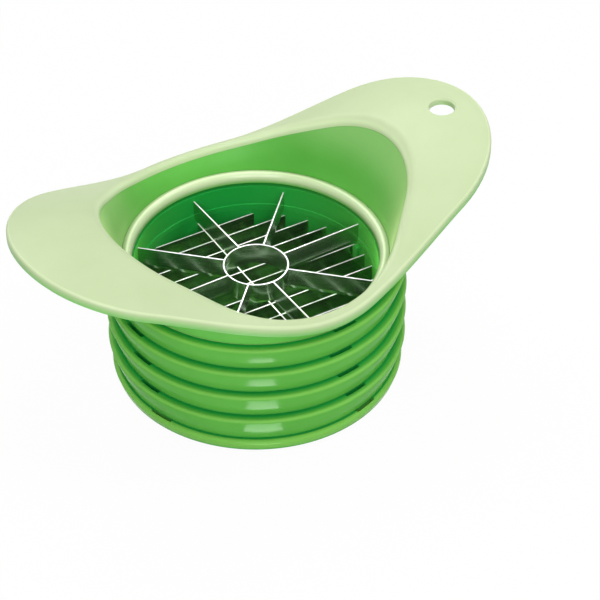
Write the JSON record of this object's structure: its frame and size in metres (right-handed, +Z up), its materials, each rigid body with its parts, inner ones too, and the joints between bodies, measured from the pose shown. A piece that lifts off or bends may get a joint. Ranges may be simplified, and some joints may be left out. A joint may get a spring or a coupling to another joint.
{
  "type": "press-down vegetable cutter",
  "caption": "Press-down fruit and vegetable cutter: a funnel handle with two ears on a stack of round blade inserts and a closed base.",
  "frame": {"origin": "middle of the base's underside", "axes": "+Z up through the stack, +X along the handle towards the ear with the hanging hole"},
  "size_m": [0.1752, 0.1072, 0.0806],
  "materials": {
    "lime_plastic": "pale lime moulded plastic with a soft gloss",
    "leaf_plastic": "leaf green moulded plastic, glossy",
    "blade_steel": "stainless strip with bright ground edges"
  },
  "bodies": {
    "base": {"base": "leaf_plastic"},
    "segment_insert": {"segment_ring": "leaf_plastic", "segment_hub": "blade_steel", "segment_blade_1": "blade_steel", "segment_blade_2": "blade_steel", "segment_blade_3": "blade_steel", "segment_blade_4": "blade_steel", "segment_blade_5": "blade_steel", "segment_blade_6": "blade_steel"},
    "stick_insert": {"stick_ring": "leaf_plastic", "stick_blade_1": "blade_steel", "stick_blade_2": "blade_steel", "stick_blade_3": "blade_steel", "stick_blade_4": "blade_steel", "stick_blade_5": "blade_steel", "stick_blade_6": "blade_steel", "stick_blade_7": "blade_steel", "stick_cross_blade_1": "blade_steel", "stick_cross_blade_2": "blade_steel", "stick_cross_blade_3": "blade_steel", "stick_cross_blade_4": "blade_steel", "stick_cross_blade_5": "blade_steel", "stick_cross_blade_6": "blade_steel", "stick_cross_blade_7": "blade_steel"},
    "slice_insert": {"slice_ring": "leaf_plastic", "slice_cross_blade": "blade_steel", "slice_blade_1": "blade_steel", "slice_blade_2": "blade_steel", "slice_blade_3": "blade_steel", "slice_blade_4": "blade_steel", "slice_blade_5": "blade_steel", "slice_blade_6": "blade_steel", "slice_blade_7": "blade_steel", "slice_blade_8": "blade_steel", "slice_blade_9": "blade_steel", "slice_blade_10": "blade_steel", "slice_blade_11": "blade_steel", "slice_blade_12": "blade_steel"},
    "wedge_insert": {"wedge_ring": "leaf_plastic", "wedge_core": "blade_steel", "wedge_blade_1": "blade_steel", "wedge_blade_2": "blade_steel", "wedge_blade_3": "blade_steel", "wedge_blade_4": "blade_steel", "wedge_blade_5": "blade_steel", "wedge_blade_6": "blade_steel", "wedge_blade_7": "blade_steel", "wedge_blade_8": "blade_steel"},
    "handle": {"handle_grip": "lime_plastic", "handle_funnel": "leaf_plastic", "throat_ring": "lime_plastic"}
  },
  "joints": [
    {"name": "segment_lift", "type": "slide", "parent": "base", "child": "segment_insert", "axis": [0, 0, 1], "range_m": [0, 0.06]},
    {"name": "stick_lift", "type": "slide", "parent": "segment_insert", "child": "stick_insert", "axis": [0, 0, 1], "range_m": [0, 0.06]},
    {"name": "slice_lift", "type": "slide", "parent": "stick_insert", "child": "slice_insert", "axis": [0, 0, 1], "range_m": [0, 0.06]},
    {"name": "wedge_lift", "type": "slide", "parent": "slice_insert", "child": "wedge_insert", "axis": [0, 0, 1], "range_m": [0, 0.06]},
    {"name": "handle_lift", "type": "slide", "parent": "wedge_insert", "child": "handle", "axis": [0, 0, 1], "range_m": [0, 0.06]}
  ]
}
